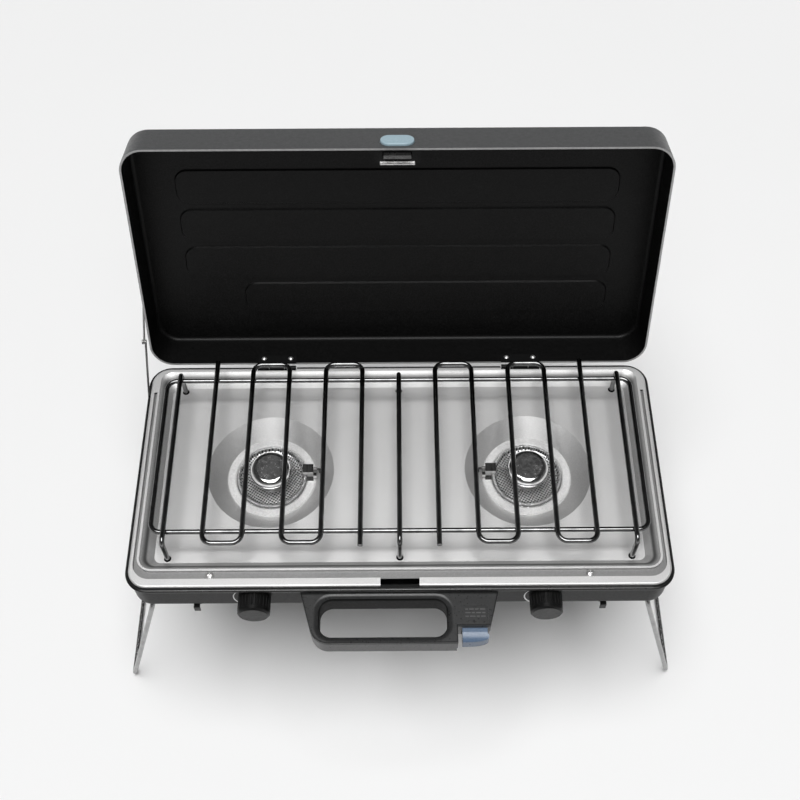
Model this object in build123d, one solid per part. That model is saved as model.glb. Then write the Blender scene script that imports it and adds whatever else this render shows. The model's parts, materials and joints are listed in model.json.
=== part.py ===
"""Two-burner suitcase camping stove with folding wire legs, modelled open and standing.

Millimetres. X runs left to right, Y from the cook to the back, Z up from the ground.
The origin is on the ground under the middle of the case.
"""
from build123d import *
import math
import os

os.makedirs("parts", exist_ok=True)

# ---- driving dimensions -------------------------------------------------------
RIM_Z = 250.0            # top of the hob plate's rim above the ground
CASE_W = 526.0           # case walls, outside
CASE_D = 254.0
CASE_H = 45.0            # rim to underside
CASE_R = 20.0            # corner radius in plan
BEAD = 3.0               # how far the rolled edge stands proud of the wall
SHEET = 1.0              # case and lid steel
PLATE_W = 525.0          # hob plate, outside
PLATE_D = 252.0
PLATE_T = 0.8
BASIN_DEPTH = 10.0       # rim to the hob floor
RECESS_DEPTH = 14.0      # hob floor to the bottom of a burner recess
BURNER_X = 131.5         # burner centres, left and right of the middle
BURNER_Y = 5.5
KNOB_X = 141.5
KNOB_Z = RIM_Z - 23.5
WIRE_R = 2.5             # pan support and leg wire
GRATE_LOW = 20.0         # lower wire layer above the rim
BAR_PITCH = 37.9
LID_W = 530.0
LID_D = 254.6
LID_H = 46.2
LID_GAP = 0.4            # closed lid above the hob rim
LID_OPEN = 108.25        # opening angle
HINGE_Y = 128.5
HINGE_Z = RIM_Z - 3.4
HINGE_X = 131.0
LEG_X = 246.0            # leg pivots
LEG_FOOT_X = 302.0       # ground rods
LEG_Y = 124.0            # side rods, front and back
LEG_PIVOT_Z = 200.0
RUN = 0.05               # radial clearance of a running fit
AIR = 0.4                # gap between parts that move past each other

# ---- worked out from them -------------------------------------------------------
CASE_Z0 = RIM_Z - CASE_H
SEAT_Z = RIM_Z - 3.0             # the rolled edge, and what the hob plate stands on
FLOOR_Z = RIM_Z - BASIN_DEPTH
RECESS_Z = FLOOR_Z - RECESS_DEPTH
LOW_Z = RIM_Z + GRATE_LOW
HIGH_Z = LOW_Z + 2 * WIRE_R + 0.02
LID_Z0 = RIM_Z + LID_GAP
LID_Z1 = LID_Z0 + LID_H
LID_CY = -0.9                    # the closed lid sits a little to the front
LID_BACK = LID_CY + LID_D / 2
LID_FRONT = LID_CY - LID_D / 2
PANEL_Y = -CASE_D / 2            # outer face of the front wall
HINGE_AXIS = Axis((0, HINGE_Y, HINGE_Z), (1, 0, 0))
SIDES = {"left": -1, "right": 1}


# ---- helpers ---------------------------------------------------------------------
def save(name, *solids):
    """Write one node: a single solid, or a group of separate ones."""
    if len(solids) == 1:
        shape = solids[0]
    else:
        shape = Compound(children=[s.solids()[0] for s in solids])
    export_step(shape, f"parts/{name}.step")


def slab(width, depth, radius, z0, z1, cx=0.0, cy=0.0):
    """Upright prism on a rounded rectangle."""
    return extrude(Pos(cx, cy, z0) * RectangleRounded(width, depth, radius), z1 - z0)


def block(x0, x1, y0, y1, z0, z1):
    """Box between two corners."""
    size = (x1 - x0, y1 - y0, z1 - z0)
    return Pos((x0 + x1) / 2, (y0 + y1) / 2, (z0 + z1) / 2) * Box(*size)


def rod(start, end, radius):
    """Round bar between two points."""
    a = Vector(start)
    b = Vector(end)
    plane = Plane(origin=a, z_dir=b - a)
    return extrude(plane * Circle(radius), (b - a).length)


def facing_back(x, y, z):
    """Sketch plane square to Y, with its own x along the row's X."""
    return Plane(origin=(x, y, z), x_dir=(1, 0, 0), z_dir=(0, 1, 0))


def spun(points, x, y):
    """Solid of revolution about the upright line through x, y; points are (radius, z)."""
    face = make_face(Polyline(*[(r, 0, z) for r, z in points], close=True))
    return Pos(x, y, 0) * revolve(face, Axis.Z)


def wire(points, bend, radius=WIRE_R):
    """Bent round wire through points, every corner with one bend radius."""
    path = FilletPolyline(*points, radius=bend)
    plane = Plane(origin=path @ 0, z_dir=path % 0)
    return sweep(plane * Circle(radius), path=path)


def top_edges(solid, z):
    """Edges that lie flat at height z."""
    return solid.edges().filter_by(Plane.XY).filter_by_position(Axis.Z, z - 0.01, z + 0.01)


def opened(shape):
    """Swing a piece modelled on the closed lid to the open position."""
    return shape.rotate(HINGE_AXIS, -LID_OPEN)


def dome(x, y, z, radius, height):
    """Low rounded rivet or screw head standing on height z."""
    sphere_r = (radius ** 2 + height ** 2) / (2 * height)
    ball = Pos(x, y, z + height - sphere_r) * Sphere(sphere_r)
    return ball & block(x - radius, x + radius, y - radius, y + radius, z, z + height)


# ---- case --------------------------------------------------------------------------
HINGE_W = 41.0
KNUCKLE_R = 2.6
LATCH_W = 37.5
FLANGE_TOP = SEAT_Z - PLATE_T
FLANGE_T = 1.4
WALL_R = 8.0             # fillet between wall and underside
INLET_X = -HINGE_X
INLET_Z = RIM_Z - 30.0
TRIGGER_X = 71.0
TRIGGER_Z = RIM_Z - 25.0
PIPE_Z = CASE_Z0 + 7.0
PIPE_Y = -112.0
PIPE_R = 3.0
PIPE_SIDE = -204.0        # where the pipe runs to the front beside the left burner
LEG_EAR_Y = 111.5        # middle of a pivot ear
EAR_T = 2.0
HOOK_Y = PANEL_Y + 4.2    # front face of the latch hook on the closed lid
SLOT_BACK = -117.4        # back edge of the slot the hook drops through


def base_shell():
    outer = slab(CASE_W, CASE_D, CASE_R, CASE_Z0, SEAT_Z)
    outer = fillet(top_edges(outer, CASE_Z0), WALL_R)
    inner = slab(CASE_W - 2 * SHEET, CASE_D - 2 * SHEET, CASE_R - SHEET, CASE_Z0 + SHEET, SEAT_Z + 1)
    inner = fillet(top_edges(inner, CASE_Z0 + SHEET), WALL_R - SHEET)
    bead = slab(CASE_W + 2 * BEAD, CASE_D + 2 * BEAD, CASE_R + BEAD, SEAT_Z - 4.0, SEAT_Z)
    bead = fillet(top_edges(bead, SEAT_Z) + top_edges(bead, SEAT_Z - 4.0), 1.9)
    flange = slab(CASE_W - SHEET, CASE_D - SHEET, CASE_R, FLANGE_TOP - FLANGE_T, FLANGE_TOP)
    hole_front = -109.0
    hole_back = 123.0
    flange -= slab(2 * 251.5, hole_back - hole_front, 12, FLANGE_TOP - 3, RIM_Z, 0,
                   (hole_back + hole_front) / 2)
    shell = outer + bead - inner + flange
    # hook slot of the lid latch, inside the front lip of the flange
    shell -= block(-LATCH_W / 2, LATCH_W / 2, HOOK_Y - 0.5, SLOT_BACK, FLANGE_TOP - 4, RIM_Z)
    for side in SIDES.values():
        # room for a hinge barrel in the back edge
        shell -= block(side * HINGE_X - HINGE_W / 2 - 1, side * HINGE_X + HINGE_W / 2 + 1,
                       123.8, 140, SEAT_Z - 4.1, RIM_Z)
        # tap stem, hob screw and leg bracket rivets
        shell -= rod((side * KNOB_X, PANEL_Y - 2, KNOB_Z), (side * KNOB_X, PANEL_Y + 3, KNOB_Z), 5.0)
        shell -= rod((side * SCREW_X, SCREW_Y, SEAT_Z), (side * SCREW_X, SCREW_Y, SEAT_Z - 8), 2.0)
        for end in (-1, 1):
            x, y = side * LEG_X, end * RIVET_Y
            shell -= rod((x, y, CASE_Z0 - 1), (x, y, CASE_Z0 + 2), RIVET_R)
    shell -= rod((TRIGGER_X, PANEL_Y - 2, TRIGGER_Z), (TRIGGER_X, PANEL_Y + 3, TRIGGER_Z), 8.2)
    shell -= rod((INLET_X, CASE_D / 2 - 3, INLET_Z), (INLET_X, CASE_D / 2 + 3, INLET_Z), 5.0)
    for x in HANDLE_SCREWS_X:
        shell -= rod((x, PANEL_Y - 2, HANDLE_SCREW_Z), (x, PANEL_Y + 3, HANDLE_SCREW_Z), 2.0)
    shell -= stud(STAY_BASE, -CASE_W / 2 - 3, -CASE_W / 2 + 3, PIVOT_R)
    return shell


# hob plate: a flat outer rim, a shallow groove in front and at the sides, a rounded ridge
# and then the basin, whose floor carries the two conical burner recesses
RIDGE_X = 253.3
RIDGE_FRONT = -107.0
RIDGE_BACK = 122.0
BASIN_X = 240.5
BASIN_FRONT = -96.5
BASIN_BACK = 106.9
GROOVE_DEPTH = 3.0
GROOVE_FRONT = 117.6     # the front groove runs between these distances in front of the middle
GROOVE_BACK = 109.2
RECESS_R = 64.5
RECESS_R2 = 45.8
PLATE_HOLE_R = 39.0
SCREW_X = 183.5
SCREW_Y = -113.4
SCREW_HEAD_R = 4.0
FOOT_HOLE_R = 3.6
FOOT_X = 6 * BAR_PITCH
FOOT_FRONT = -91.8
FOOT_BACK = 102.6
RIVET_Y = 102.0
RIVET_R = 2.0
HANDLE_SCREWS_X = (-86.0, 50.0)
HANDLE_SCREW_Z = RIM_Z - 19.0
BASIN_R = 7.0
RIDGE_R = 13.0


def plate_mass(grow, drop):
    """Top form of the hob plate as a solid; grow widens every hollow by the sheet's thickness."""
    top = RIM_Z - drop
    body = slab(PLATE_W - 2 * grow, PLATE_D - 2 * grow, CASE_R - 1 - grow, RIM_Z - 45, top)
    if grow == 0:
        body = fillet(top_edges(body, top), 1.6)
    else:
        body = fillet(top_edges(body, top), 0.9)
    groove_out = slab(2 * (258.7 + grow), 2 * (GROOVE_FRONT + grow) + 14, 17 + grow,
                      top - GROOVE_DEPTH, top + 1, 0, 7.0)
    groove_out &= block(-300, 300, -GROOVE_FRONT - grow, 96, 0, 400)
    groove_in = slab(2 * (255.6 - grow), 400, 15 - grow, top - 20, top + 2, 0,
                     200 - GROOVE_BACK + grow)
    groove = groove_out - groove_in
    depth = RIDGE_BACK - RIDGE_FRONT + 2 * grow
    basin_depth = BASIN_BACK - BASIN_FRONT + 2 * grow
    over = 1.0
    slope = (RIDGE_X - BASIN_X) / BASIN_DEPTH * over
    mouth = Pos(0, (RIDGE_BACK + RIDGE_FRONT) / 2, top + over) * RectangleRounded(
        2 * (RIDGE_X + grow + slope), depth + 2 * slope, RIDGE_R + grow)
    floor = Pos(0, (BASIN_BACK + BASIN_FRONT) / 2, top - BASIN_DEPTH) * RectangleRounded(
        2 * (BASIN_X + grow), basin_depth, BASIN_R + grow)
    basin = loft([floor, mouth])
    body = body - groove - basin
    for side in SIDES.values():
        wide = Pos(side * BURNER_X, BURNER_Y, top - BASIN_DEPTH) * Circle(RECESS_R + grow)
        deep = Pos(side * BURNER_X, BURNER_Y, top - BASIN_DEPTH - RECESS_DEPTH) * Circle(RECESS_R2 + grow)
        body -= loft([deep, wide])
    return body


def hob_plate():
    plate = plate_mass(0, 0) - plate_mass(PLATE_T, PLATE_T)
    # the sheet ends just below each form: nothing under the recess bottoms, no skirt below the bead
    plate &= slab(PLATE_W + 10, PLATE_D + 10, CASE_R, RECESS_Z - PLATE_T, RIM_Z + 5)
    trim = slab(PLATE_W + 40, PLATE_D + 40, CASE_R, RECESS_Z - 40, SEAT_Z + 0.03)
    trim -= slab(2 * 260.2, 2 * 119.5, CASE_R - 4, RECESS_Z - 50, RIM_Z)
    plate -= trim
    plate -= block(-LATCH_W / 2, LATCH_W / 2, -PLATE_D / 2 - 3, SLOT_BACK, RIM_Z - 12, RIM_Z + 2)
    for side in SIDES.values():
        plate -= block(side * HINGE_X - HINGE_W / 2 - 1, side * HINGE_X + HINGE_W / 2 + 1,
                       123.0, 140, RIM_Z - 12, RIM_Z + 2)
        plate -= rod((side * SCREW_X, SCREW_Y, RIM_Z), (side * SCREW_X, SCREW_Y, RIM_Z - 8), 2.0)
        x, y = side * BURNER_X, BURNER_Y
        plate -= rod((x, y, RECESS_Z - 3), (x, y, RECESS_Z + 3), PLATE_HOLE_R)
        lead = side * (BURNER_X - LEAD_OUT)
        plate -= rod((lead, LEAD_Y, RECESS_Z - 5), (lead, LEAD_Y, FLOOR_Z + 1), 3.0)
    for x in (-FOOT_X, 0, FOOT_X):
        for y in (FOOT_FRONT, FOOT_BACK):
            plate -= rod((x, y, FLOOR_Z - 5), (x, y, FLOOR_Z + 1), FOOT_HOLE_R)
    return plate


def hob_screws():
    screws = []
    for x in (-SCREW_X, SCREW_X):
        shank = rod((x, SCREW_Y, SEAT_Z - 7), (x, SCREW_Y, SEAT_Z + 1), 2.0)
        head = rod((x, SCREW_Y, SEAT_Z), (x, SCREW_Y, SEAT_Z + 0.9), SCREW_HEAD_R)
        head += dome(x, SCREW_Y, SEAT_Z + 0.9, SCREW_HEAD_R, 1.5)
        cross = block(x - 2.2, x + 2.2, SCREW_Y - 0.45, SCREW_Y + 0.45, SEAT_Z + 1.1, SEAT_Z + 4)
        cross += block(x - 0.45, x + 0.45, SCREW_Y - 2.2, SCREW_Y + 2.2, SEAT_Z + 1.1, SEAT_Z + 4)
        screws.append(shank + head - cross)
    return screws


# ---- burners -------------------------------------------------------------------------
ELECTRODE_UP = 7.6       # electrode's height above the recess bottom
LEAD_OUT = 51.5          # where an ignition lead passes the recess wall, from the burner's centre
LEAD_Y = 11.0
CUP_R = 35.6             # rolled lip of the perforated bowl
CUP_LIP_Z = RIM_Z - 20.0
CUP_FLAT_R = 29.5        # edge of its flat perforated floor
CUP_LOW_Z = RIM_Z - 24.5
CAP_R = 20.6
CAP_LIP_R = 21.3
CAP_ROUND = 6.2
HEAD_R = 15.5
CAP_Z0 = RIM_Z - 9.5
CAP_Z1 = RIM_Z - 1.5
CAP_ROOF = CAP_Z1 - 1.6  # inside top of the cap, where the head stands
TUBE_Z = CASE_Z0 + 10.0
TUBE_R = 6.5
JET_Y = -92.0


def burner_collar(side):
    x = side * BURNER_X
    z = RECESS_Z
    return spun([(36.6, z), (45.0, z), (45.0, z + 0.8), (44.4, z + 1.4), (38.0, z + 1.4), (36.6, z + 0.4)],
                x, BURNER_Y)


def burner_cup(side):
    """Perforated bowl: a flat floor, a short steep wall, a rounded lip and a skirt outside."""
    lip, low = CUP_LIP_Z, CUP_LOW_Z
    foot = RECESS_Z + 0.2
    hole, flat = HEAD_R + 0.02, CUP_FLAT_R
    section = [(hole, low), (flat, low), (flat + 2.0, low + 0.7), (CUP_R - 2.6, lip - 0.6),
               (CUP_R - 1.8, lip), (CUP_R - 0.8, lip), (CUP_R, lip - 0.8), (CUP_R, foot),
               (36.9, foot - 1.2), (36.9, foot - 2.2), (CUP_R - 0.9, foot - 1.4),
               (CUP_R - 0.9, lip - 1.2), (CUP_R - 2.0, lip - 1.6), (flat + 2.4, low - 0.3),
               (flat + 0.3, low - 1.0), (hole, low - 1.0)]
    return spun(section, side * BURNER_X, BURNER_Y)


def burner_tube(side):
    """Round head with a mixing tube that runs forward to the injector."""
    x = side * BURNER_X
    front = (side * KNOB_X, JET_Y + 2.5, TUBE_Z)
    middle = (x, BURNER_Y, TUBE_Z)
    z0 = TUBE_Z - TUBE_R - 1
    top = CAP_ROOF
    outer = rod((x, BURNER_Y, z0), (x, BURNER_Y, top), HEAD_R) + rod(middle, front, TUBE_R)
    beyond = Vector(front) + (Vector(front) - Vector(middle)).normalized()
    inner = rod((x, BURNER_Y, z0 + 1), (x, BURNER_Y, top + 1), HEAD_R - 1.4)
    inner += rod(middle, beyond, TUBE_R - 1)
    body = outer - inner
    ports = 12
    for i in range(ports):
        angle = 2 * math.pi * (i + 0.5) / ports
        reach = Vector(math.cos(angle), math.sin(angle), 0) * (HEAD_R + 2)
        start = Vector(x, BURNER_Y, CAP_Z0 - 0.4)
        body -= rod(start, start + reach, 1.3)
    return body


def burner_cap(side):
    """Cap with a flat top, a wide round edge and a thin lip at the bottom."""
    x = side * BURNER_X
    body = rod((x, BURNER_Y, CAP_Z0), (x, BURNER_Y, CAP_Z1), CAP_R)
    body = fillet(top_edges(body, CAP_Z1), CAP_ROUND)
    lip = rod((x, BURNER_Y, CAP_Z0), (x, BURNER_Y, CAP_Z0 + 1.0), CAP_LIP_R)
    body += fillet(top_edges(lip, CAP_Z0 + 1.0), 0.5)
    return body - rod((x, BURNER_Y, CAP_Z0 - 1), (x, BURNER_Y, CAP_ROOF), HEAD_R + AIR)


def burner_support(side):
    """Spacer that stands the burner head on the case floor, with a collar under the head."""
    x = side * BURNER_X
    z0 = CASE_Z0 + SHEET
    z1 = TUBE_Z - TUBE_R - 1
    return rod((x, BURNER_Y, z0), (x, BURNER_Y, z1), 9)


def electrode_bracket(side):
    """Bent sheet tab on the collar, shielding the igniter electrode."""
    inner = BURNER_X - 43.0
    z = RECESS_Z + 1.4
    narrow = inner + 6.6
    wide = inner + 11
    tab = block(inner, wide, 5.4, 15, z + 9.2, z + 10)
    tab += block(inner, wide, 5.4, 6.2, z + 5, z + 10)
    tab += block(inner, narrow, 5.4, 6.2, z, z + 5)
    tab += block(inner, narrow, 0.4, 6.2, z, z + 0.8)
    tab += block(inner - 3.4, inner, 2.6, 3.4, z + 2.4, z + 7.5)
    tab += block(inner - 3.4, inner, 2.6, 6.2, z + 6.7, z + 7.5)
    return tab if side > 0 else tab.mirror(Plane.YZ)


def electrode(side):
    """Ceramic rod lying along X with the spark wire aimed at the cap's edge."""
    z = RECESS_Z + ELECTRODE_UP
    near = BURNER_X - CAP_R
    body = rod((near - 26, LEAD_Y, z), (near - 12, LEAD_Y, z), 2.0)
    body += rod((near - 12, LEAD_Y, z), (near - 5.5, LEAD_Y, z), 0.8)
    body += rod((near - 5.5, LEAD_Y, z), (near - 1.4, 8.5, z + 1.5), 0.8)
    return body if side > 0 else body.mirror(Plane.YZ)


# ---- gas path ------------------------------------------------------------------------------
STEM_R = 3.0
VALVE_FRONT = PANEL_Y + SHEET
VALVE_BACK = -100.0


def valve(side):
    x = side * KNOB_X
    body = block(x - 8, x + 8, VALVE_FRONT + 4, VALVE_BACK, TUBE_Z - 7, KNOB_Z + 7)
    body = fillet(body.edges().filter_by(Axis.Y), 2.0)
    body += rod((x, VALVE_FRONT, KNOB_Z), (x, VALVE_FRONT + 5, KNOB_Z), 6.5)
    body -= rod((x, VALVE_FRONT - 1, KNOB_Z), (x, VALVE_BACK - 6, KNOB_Z), STEM_R + RUN)
    body -= rod((x, PIPE_Y, TUBE_Z), (x, VALVE_BACK + 1, TUBE_Z), 2.6)
    for end in (-1, 1):
        body -= rod((x, PIPE_Y, PIPE_Z + 2), (x + end * 9, PIPE_Y, PIPE_Z + 2), PIPE_R)
    return body


def jet(side):
    x = side * KNOB_X
    hexagon = facing_back(x, VALVE_BACK, TUBE_Z) * RegularPolygon(4.2, 6)
    body = extrude(hexagon, 4.5)
    body += rod((x, VALVE_BACK + 4.5, TUBE_Z), (x, JET_Y + 1, TUBE_Z), 2.4)
    body += rod((x, VALVE_BACK - 6, TUBE_Z), (x, VALVE_BACK, TUBE_Z), 2.6)
    body -= rod((x, VALVE_BACK - 7, TUBE_Z), (x, JET_Y + 0.2, TUBE_Z), 0.9)
    return body


def valve_stem(side):
    x = side * KNOB_X
    stem = rod((x, KNOB_FRONT + 6, KNOB_Z), (x, VALVE_BACK - 8, KNOB_Z), STEM_R)
    flat = block(x - 4, x + 4, KNOB_FRONT, PANEL_Y - 3, KNOB_Z + 1.6, KNOB_Z + 4)
    return stem - flat


def gas_manifold():
    """One pipe from the inlet along the left wall, and one between the two taps."""
    z = PIPE_Z + 2
    start = (INLET_X, CASE_D / 2 - SHEET - 6, INLET_Z)
    corner = (INLET_X, 97, INLET_Z)
    path = [start, corner, (PIPE_SIDE, 70, z), (PIPE_SIDE, PIPE_Y, z), (-KNOB_X - 7.8, PIPE_Y, z)]
    first = wire(path, 9, PIPE_R)
    second = rod((-KNOB_X + 7.8, PIPE_Y, z), (KNOB_X - 7.8, PIPE_Y, z), PIPE_R)
    return [first, second]


def gas_inlet():
    """Hose tail through the back wall, with a nut each side of the sheet."""
    y = CASE_D / 2
    centre = (INLET_X, y, INLET_Z)
    body = rod((INLET_X, y - SHEET - 6, INLET_Z), (INLET_X, y + 9, INLET_Z), 5.0)
    for start, length in ((y, 6.0), (y - SHEET - 4, 4.0)):
        nut = facing_back(INLET_X, start, INLET_Z) * RegularPolygon(8.5, 6)
        body += extrude(nut, length)
    body += rod((INLET_X, y + 9, INLET_Z), (INLET_X, y + 9 + TAIL_LENGTH, INLET_Z), TAIL_R)
    body -= rod((INLET_X, y - 9, INLET_Z), (INLET_X, y + 10 + TAIL_LENGTH, INLET_Z), 2.5)
    return body


TAIL_R = 4.0
TAIL_LENGTH = 20.0
KNOB_R = 15.9
KNOB_BACK = PANEL_Y - 0.8
KNOB_FRONT = KNOB_BACK - 18.5


def knob(side):
    """Fluted knob with a smooth chamfered front and a D-shaped bore."""
    x = side * KNOB_X
    body = rod((x, KNOB_BACK, KNOB_Z), (x, KNOB_FRONT + 4.5, KNOB_Z), KNOB_R)
    flutes = 28
    for i in range(flutes):
        angle = 2 * math.pi * i / flutes
        fx = x + (KNOB_R + 0.35) * math.cos(angle)
        fz = KNOB_Z + (KNOB_R + 0.35) * math.sin(angle)
        body -= rod((fx, KNOB_BACK + 1, fz), (fx, KNOB_FRONT + 5.5, fz), 1.05)
    nose = rod((x, KNOB_FRONT + 4.5, KNOB_Z), (x, KNOB_FRONT, KNOB_Z), KNOB_R - 0.2)
    nose = chamfer(nose.edges().filter_by_position(Axis.Y, KNOB_FRONT - 0.1, KNOB_FRONT + 0.1), 1.8)
    body += nose
    socket = rod((x, KNOB_BACK + 1, KNOB_Z), (x, KNOB_FRONT + 6, KNOB_Z), STEM_R)
    socket -= block(x - 4, x + 4, KNOB_FRONT, PANEL_Y - 3, KNOB_Z + 1.6, KNOB_Z + 4)
    hollow = rod((x, KNOB_BACK + 1, KNOB_Z), (x, KNOB_BACK - 5, KNOB_Z), KNOB_R - 3)
    hollow -= rod((x, KNOB_BACK + 2, KNOB_Z), (x, KNOB_BACK - 6, KNOB_Z), 6.0)
    return body - socket - hollow


# ---- ignition ----------------------------------------------------------------------------------
PIEZO_R = 8.0
PIEZO_BACK = -84.0
BLOCK_FRONT = -162.5     # front of the handle's block over the trigger
TRIGGER_TRAVEL = 5.0
PLUNGER_R = 4.0
TRIGGER_W = 24.0
TRIGGER_BACK = -141.0
PADDLE_BACK = BLOCK_FRONT - TRIGGER_TRAVEL - 0.6
PADDLE_FRONT = -176.5
TRIGGER_TOP = RIM_Z - 17.0
TRIGGER_LOW = RIM_Z - 30.0


def piezo_igniter():
    """Round snap igniter clamped through the front wall; its own spring is inside."""
    front = PANEL_Y - 2
    body = rod((TRIGGER_X, front, TRIGGER_Z), (TRIGGER_X, PIEZO_BACK, TRIGGER_Z), PIEZO_R)
    body += rod((TRIGGER_X, VALVE_FRONT, TRIGGER_Z), (TRIGGER_X, VALVE_FRONT + 3, TRIGGER_Z), 10.5)
    body -= rod((TRIGGER_X, front - 1, TRIGGER_Z), (TRIGGER_X, front + 16, TRIGGER_Z), PLUNGER_R + RUN)
    return body


def ignition_leads():
    """Two insulated leads from the igniter's back to the electrodes."""
    z = PIPE_Z
    radius = 1.2
    start_x = BURNER_X - CAP_R - 26
    down_x = BURNER_X - LEAD_OUT
    leads = []
    for side in SIDES.values():
        port = TRIGGER_X + side * 4
        if side > 0:
            middle = [(port, -30, z)]
        else:
            middle = [(-60, -20, z), (30, -60, z)]
        top = RECESS_Z + ELECTRODE_UP
        lead = [(side * start_x, LEAD_Y, top), (side * down_x, LEAD_Y, top), (side * down_x, LEAD_Y, z)]
        lead += middle + [(port, PIEZO_BACK + 12, TRIGGER_Z), (port, PIEZO_BACK, TRIGGER_Z)]
        leads.append(wire(lead, 4.0, radius))
    return leads


def igniter_trigger():
    """Finger paddle, swept back on its right, on a neck that runs into the handle's block."""
    x0 = TRIGGER_X - TRIGGER_W / 2
    x1 = TRIGGER_X + TRIGGER_W / 2
    body = block(x0, x1, PADDLE_BACK - 1, TRIGGER_BACK, TRIGGER_LOW, TRIGGER_TOP)
    right = x1 + 1.4
    bend_x = x0 + 6
    bend_y = PADDLE_BACK - 3
    sides = Polyline((bend_x, PADDLE_FRONT), (x0, PADDLE_FRONT), (x0, PADDLE_BACK), (right, PADDLE_BACK),
                     (right, bend_y))
    nose = EllipticalCenterArc((bend_x, bend_y), right - bend_x, bend_y - PADDLE_FRONT,
                               start_angle=-90, arc_size=90)
    paddle = extrude(Pos(0, 0, TRIGGER_LOW) * make_face(sides + nose), TRIGGER_TOP - TRIGGER_LOW)
    front = top_edges(paddle, TRIGGER_TOP).filter_by_position(Axis.Y, PADDLE_FRONT - 1, bend_y - 0.1)
    body += fillet(front, 1.3)
    # shallow thumb dish across the top
    dish_r = 15.0
    dish_y = (PADDLE_FRONT + PADDLE_BACK) / 2
    dish_z = TRIGGER_TOP + dish_r - 1.2
    body -= rod((x0 - 1, dish_y, dish_z), (right + 1, dish_y, dish_z), dish_r)
    body += rod((TRIGGER_X, TRIGGER_BACK, TRIGGER_Z), (TRIGGER_X, PANEL_Y + 8, TRIGGER_Z), PLUNGER_R)
    return body


# ---- handle -------------------------------------------------------------------------------------
HANDLE_TOP = RIM_Z - 10.0
HANDLE_SPLIT = RIM_Z - 25.5
HANDLE_LOW = RIM_Z - 36.0
HANDLE_BACK = PANEL_Y - 0.01
HANDLE_FRONT = -179.3
HANDLE_WALL = 2.4
WINDOW_ROUND = 6.0


def handle_outline(inset=0.0):
    """Plan outline of the handle: a loop on the left, a stepped block over the trigger."""
    back = HANDLE_BACK - inset
    front = HANDLE_FRONT + inset
    step = BLOCK_FRONT + inset
    loop = FilletPolyline((-96.5 + inset, back), (-82 + inset, front), (0, front), radius=18 - inset)
    rest = Polyline((0, front), (54.5 - inset, front), (54.5 - inset, step), (86 - inset, step),
                    (95 - inset, back), (-96.5 + inset, back))
    return make_face(loop + rest)


def handle_window(grow=0.0):
    """Finger opening."""
    return Pos(-16.2, -153.6) * RectangleRounded(122 + 2 * grow, 37 + 2 * grow, 12 + grow)


def handle_pocket():
    """Room for the trigger and its travel."""
    x0 = TRIGGER_X - TRIGGER_W / 2 - AIR
    x1 = TRIGGER_X + TRIGGER_W / 2 + AIR
    pocket = block(x0, x1, -190, TRIGGER_BACK + TRIGGER_TRAVEL + AIR, HANDLE_LOW + 2.4, TRIGGER_TOP + AIR)
    return pocket + rod((TRIGGER_X, -160, TRIGGER_Z), (TRIGGER_X, PANEL_Y + 4, TRIGGER_Z), PIEZO_R + AIR)


def handle_upper():
    """Upper half: a cover with a shadow groove under its edge and a wide round at the finger opening."""
    body = extrude(Pos(0, 0, HANDLE_SPLIT) * handle_outline(), HANDLE_TOP - HANDLE_SPLIT)
    body = chamfer(top_edges(body, HANDLE_TOP), 1.1)
    groove = handle_outline(-1) - handle_outline(0.9)
    groove_cut = extrude(Pos(0, 0, HANDLE_TOP - 3.8) * groove, 1.2)
    body -= groove_cut & block(-200, 200, -300, PANEL_Y - 0.5, 0, 400)
    window = extrude(Pos(0, 0, HANDLE_SPLIT - 1) * handle_window(), HANDLE_TOP - HANDLE_SPLIT + 2)
    body -= window
    edge = body.edges().filter_by_position(Axis.Z, HANDLE_TOP - 0.01, HANDLE_TOP + 0.01)
    edge = edge.filter_by_position(Axis.X, -78, 46).filter_by_position(Axis.Y, -173, -134)
    body = fillet(edge, WINDOW_ROUND)
    hollow = handle_outline(HANDLE_WALL) - handle_window(WINDOW_ROUND + 1.5)
    body -= extrude(Pos(0, 0, HANDLE_SPLIT - 1) * hollow, HANDLE_TOP - HANDLE_SPLIT - HANDLE_WALL - 1)
    body -= block(59, 84, -157.5, -143, HANDLE_TOP - 0.5, HANDLE_TOP + 3)
    for x in HANDLE_SCREWS_X:
        body -= rod((x, PANEL_Y - 1.6, HANDLE_SCREW_Z), (x, PANEL_Y + 1, HANDLE_SCREW_Z), 2.0)
    return body - handle_pocket()


def handle_lower():
    """Lower half, a little smaller all round than the upper one."""
    height = HANDLE_SPLIT - HANDLE_LOW
    body = extrude(Pos(0, 0, HANDLE_LOW) * handle_outline(0.6), height)
    body = fillet(top_edges(body, HANDLE_LOW), 2.4)
    body -= extrude(Pos(0, 0, HANDLE_LOW - 1) * handle_window(0.4), height + 2)
    hollow = handle_outline(HANDLE_WALL + 0.6) - handle_window(HANDLE_WALL)
    body -= extrude(Pos(0, 0, HANDLE_LOW + HANDLE_WALL) * hollow, height)
    return body - handle_pocket()


def handle_screws():
    screws = []
    for x in HANDLE_SCREWS_X:
        shank = rod((x, PANEL_Y - 1.5, HANDLE_SCREW_Z), (x, PANEL_Y + SHEET, HANDLE_SCREW_Z), 2.0)
        head = rod((x, PANEL_Y + SHEET, HANDLE_SCREW_Z), (x, PANEL_Y + SHEET + 2, HANDLE_SCREW_Z), 4.0)
        screws.append(shank + head)
    return screws


# ---- pan support ------------------------------------------------------------------------------------
FRAME_X = 241.0
FRAME_FRONT = -77.6
FRAME_BACK = 96.7
LOOP_FRONT = -92.0
LOOP_BACK = 113.5
FREE_FRONT = -95.5
FREE_BACK = 117.5
FOOT_TIP = FLOOR_Z - 8.0


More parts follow.
